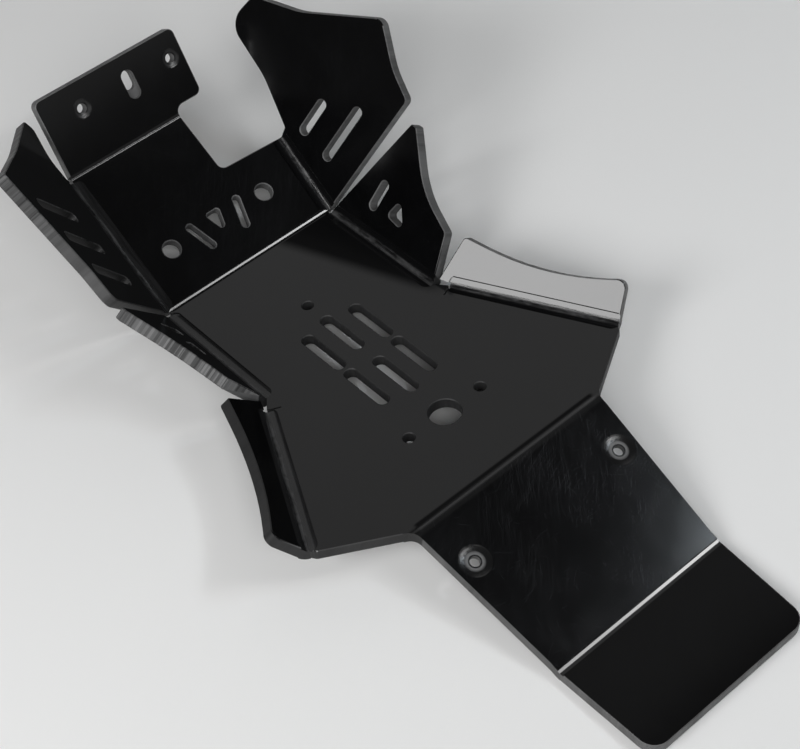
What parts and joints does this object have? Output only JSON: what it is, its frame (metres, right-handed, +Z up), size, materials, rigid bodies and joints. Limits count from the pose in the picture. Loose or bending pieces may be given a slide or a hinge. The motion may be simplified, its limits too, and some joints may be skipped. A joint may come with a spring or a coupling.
{
  "type": "motorcycle skid plate",
  "caption": "Folded thick-sheet plastic skid plate for an off-road motorcycle, with upturned side wings, cooling slots, a drain hole and a pipe notch.",
  "frame": {"origin": "middle of the box at the level of the ground that the plate rests on", "axes": "+X to the motorcycle's right, +Y forward, +Z up, with the plate lying on its front and tail creases"},
  "size_m": [0.3038, 0.6064, 0.1404],
  "materials": {
    "sheet": "black satin-gloss sheet with paler milled edges and grooves, lightly scuffed inside"
  },
  "bodies": {
    "root": {"skid_plate": "sheet"}
  },
  "joints": []
}
